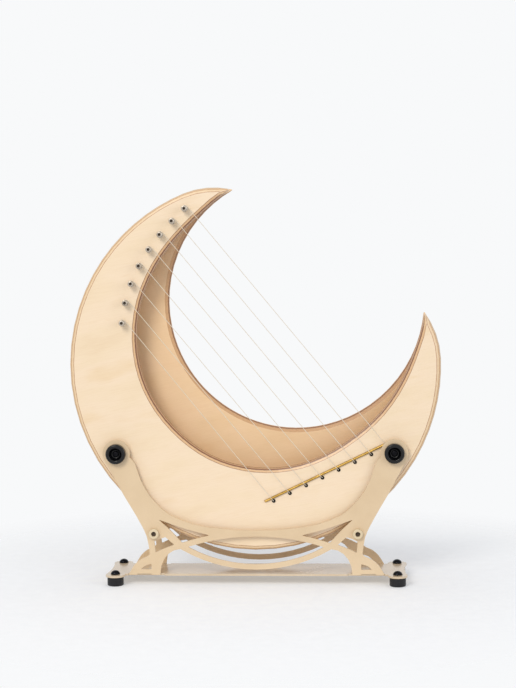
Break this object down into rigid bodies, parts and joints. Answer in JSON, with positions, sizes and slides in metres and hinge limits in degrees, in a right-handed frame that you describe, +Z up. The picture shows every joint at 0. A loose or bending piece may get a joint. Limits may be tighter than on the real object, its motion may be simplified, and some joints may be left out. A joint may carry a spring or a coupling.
{
  "type": "lyre harp",
  "caption": "Crescent-moon lyre harp with open back, sloping bridge bar and turning tuning pins, held in a two-frame metal cradle on a footed base plate",
  "frame": {"origin": "on the floor, midway between the four feet", "axes": "+X to the right seen from the front, +Y to the back, +Z up; the strings face -Y"},
  "size_m": [0.4459, 0.0934, 0.477],
  "materials": {
    "birch_plywood": "clear satin lacquer on birch plywood",
    "beech_block": "unfinished beech",
    "brass": "polished brass",
    "black_plastic": "glossy black moulded plastic",
    "string_nylon": "clear nylon string",
    "nickel_plate": "nickel-plated steel",
    "black_rubber": "matt black rubber",
    "black_steel": "black oxide steel",
    "beige_powder_coat": "fine beige powder coat"
  },
  "bodies": {
    "harp_on_stand": {"front_plate": "birch_plywood", "back_plate": "birch_plywood", "outer_rib": "birch_plywood", "pin_block": "beech_block", "mount_sleeve_left": "black_steel", "mount_sleeve_right": "black_steel", "tail_block": "beech_block", "bridge_bar": "brass", "string_grommet_1": "black_plastic", "string_grommet_2": "black_plastic", "string_grommet_3": "black_plastic", "string_grommet_4": "black_plastic", "string_grommet_5": "black_plastic", "string_grommet_6": "black_plastic", "string_grommet_7": "black_plastic", "string_grommet_8": "black_plastic", "string_1": "string_nylon", "string_2": "string_nylon", "string_3": "string_nylon", "string_4": "string_nylon", "string_5": "string_nylon", "string_6": "string_nylon", "string_7": "string_nylon", "string_8": "string_nylon", "base_plate": "beige_powder_coat", "front_frame": "beige_powder_coat", "back_frame": "beige_powder_coat", "arm_cup_front_left": "black_plastic", "rubber_washer_front_left": "black_rubber", "arm_cup_back_left": "black_plastic", "rubber_washer_back_left": "black_rubber", "mount_bolt_left": "black_steel", "cross_tube_left": "beige_powder_coat", "cross_screw_front_left": "beige_powder_coat", "cross_screw_back_left": "beige_powder_coat", "arm_cup_front_right": "black_plastic", "rubber_washer_front_right": "black_rubber", "arm_cup_back_right": "black_plastic", "rubber_washer_back_right": "black_rubber", "mount_bolt_right": "black_steel", "cross_tube_right": "beige_powder_coat", "cross_screw_front_right": "beige_powder_coat", "cross_screw_back_right": "beige_powder_coat", "rubber_foot_front_left": "black_rubber", "foot_screw_front_left": "black_steel", "rubber_foot_front_right": "black_rubber", "foot_screw_front_right": "black_steel", "rubber_foot_back_left": "black_rubber", "foot_screw_back_left": "black_steel", "rubber_foot_back_right": "black_rubber", "foot_screw_back_right": "black_steel"},
    "pin_1": {"tuning_pin_1": "nickel_plate"},
    "pin_2": {"tuning_pin_2": "nickel_plate"},
    "pin_3": {"tuning_pin_3": "nickel_plate"},
    "pin_4": {"tuning_pin_4": "nickel_plate"},
    "pin_5": {"tuning_pin_5": "nickel_plate"},
    "pin_6": {"tuning_pin_6": "nickel_plate"},
    "pin_7": {"tuning_pin_7": "nickel_plate"},
    "pin_8": {"tuning_pin_8": "nickel_plate"}
  },
  "joints": [
    {"name": "tuning_pin_1_turn", "type": "hinge", "parent": "harp_on_stand", "child": "pin_1", "pos_m": [-0.07996, -0.024, 0.4526], "axis": [0, -1, 0], "range_deg": [-680, 130]},
    {"name": "tuning_pin_2_turn", "type": "hinge", "parent": "harp_on_stand", "child": "pin_2", "pos_m": [-0.0952, -0.024, 0.43792], "axis": [0, -1, 0], "range_deg": [-680, 130]},
    {"name": "tuning_pin_3_turn", "type": "hinge", "parent": "harp_on_stand", "child": "pin_3", "pos_m": [-0.10987, -0.024, 0.42198], "axis": [0, -1, 0], "range_deg": [-680, 130]},
    {"name": "tuning_pin_4_turn", "type": "hinge", "parent": "harp_on_stand", "child": "pin_4", "pos_m": [-0.12348, -0.024, 0.40435], "axis": [0, -1, 0], "range_deg": [-680, 130]},
    {"name": "tuning_pin_5_turn", "type": "hinge", "parent": "harp_on_stand", "child": "pin_5", "pos_m": [-0.13549, -0.024, 0.38487], "axis": [0, -1, 0], "range_deg": [-680, 130]},
    {"name": "tuning_pin_6_turn", "type": "hinge", "parent": "harp_on_stand", "child": "pin_6", "pos_m": [-0.14545, -0.024, 0.36364], "axis": [0, -1, 0], "range_deg": [-680, 130]},
    {"name": "tuning_pin_7_turn", "type": "hinge", "parent": "harp_on_stand", "child": "pin_7", "pos_m": [-0.15283, -0.024, 0.34083], "axis": [0, -1, 0], "range_deg": [-680, 130]},
    {"name": "tuning_pin_8_turn", "type": "hinge", "parent": "harp_on_stand", "child": "pin_8", "pos_m": [-0.15707, -0.024, 0.31677], "axis": [0, -1, 0], "range_deg": [-680, 130]}
  ]
}
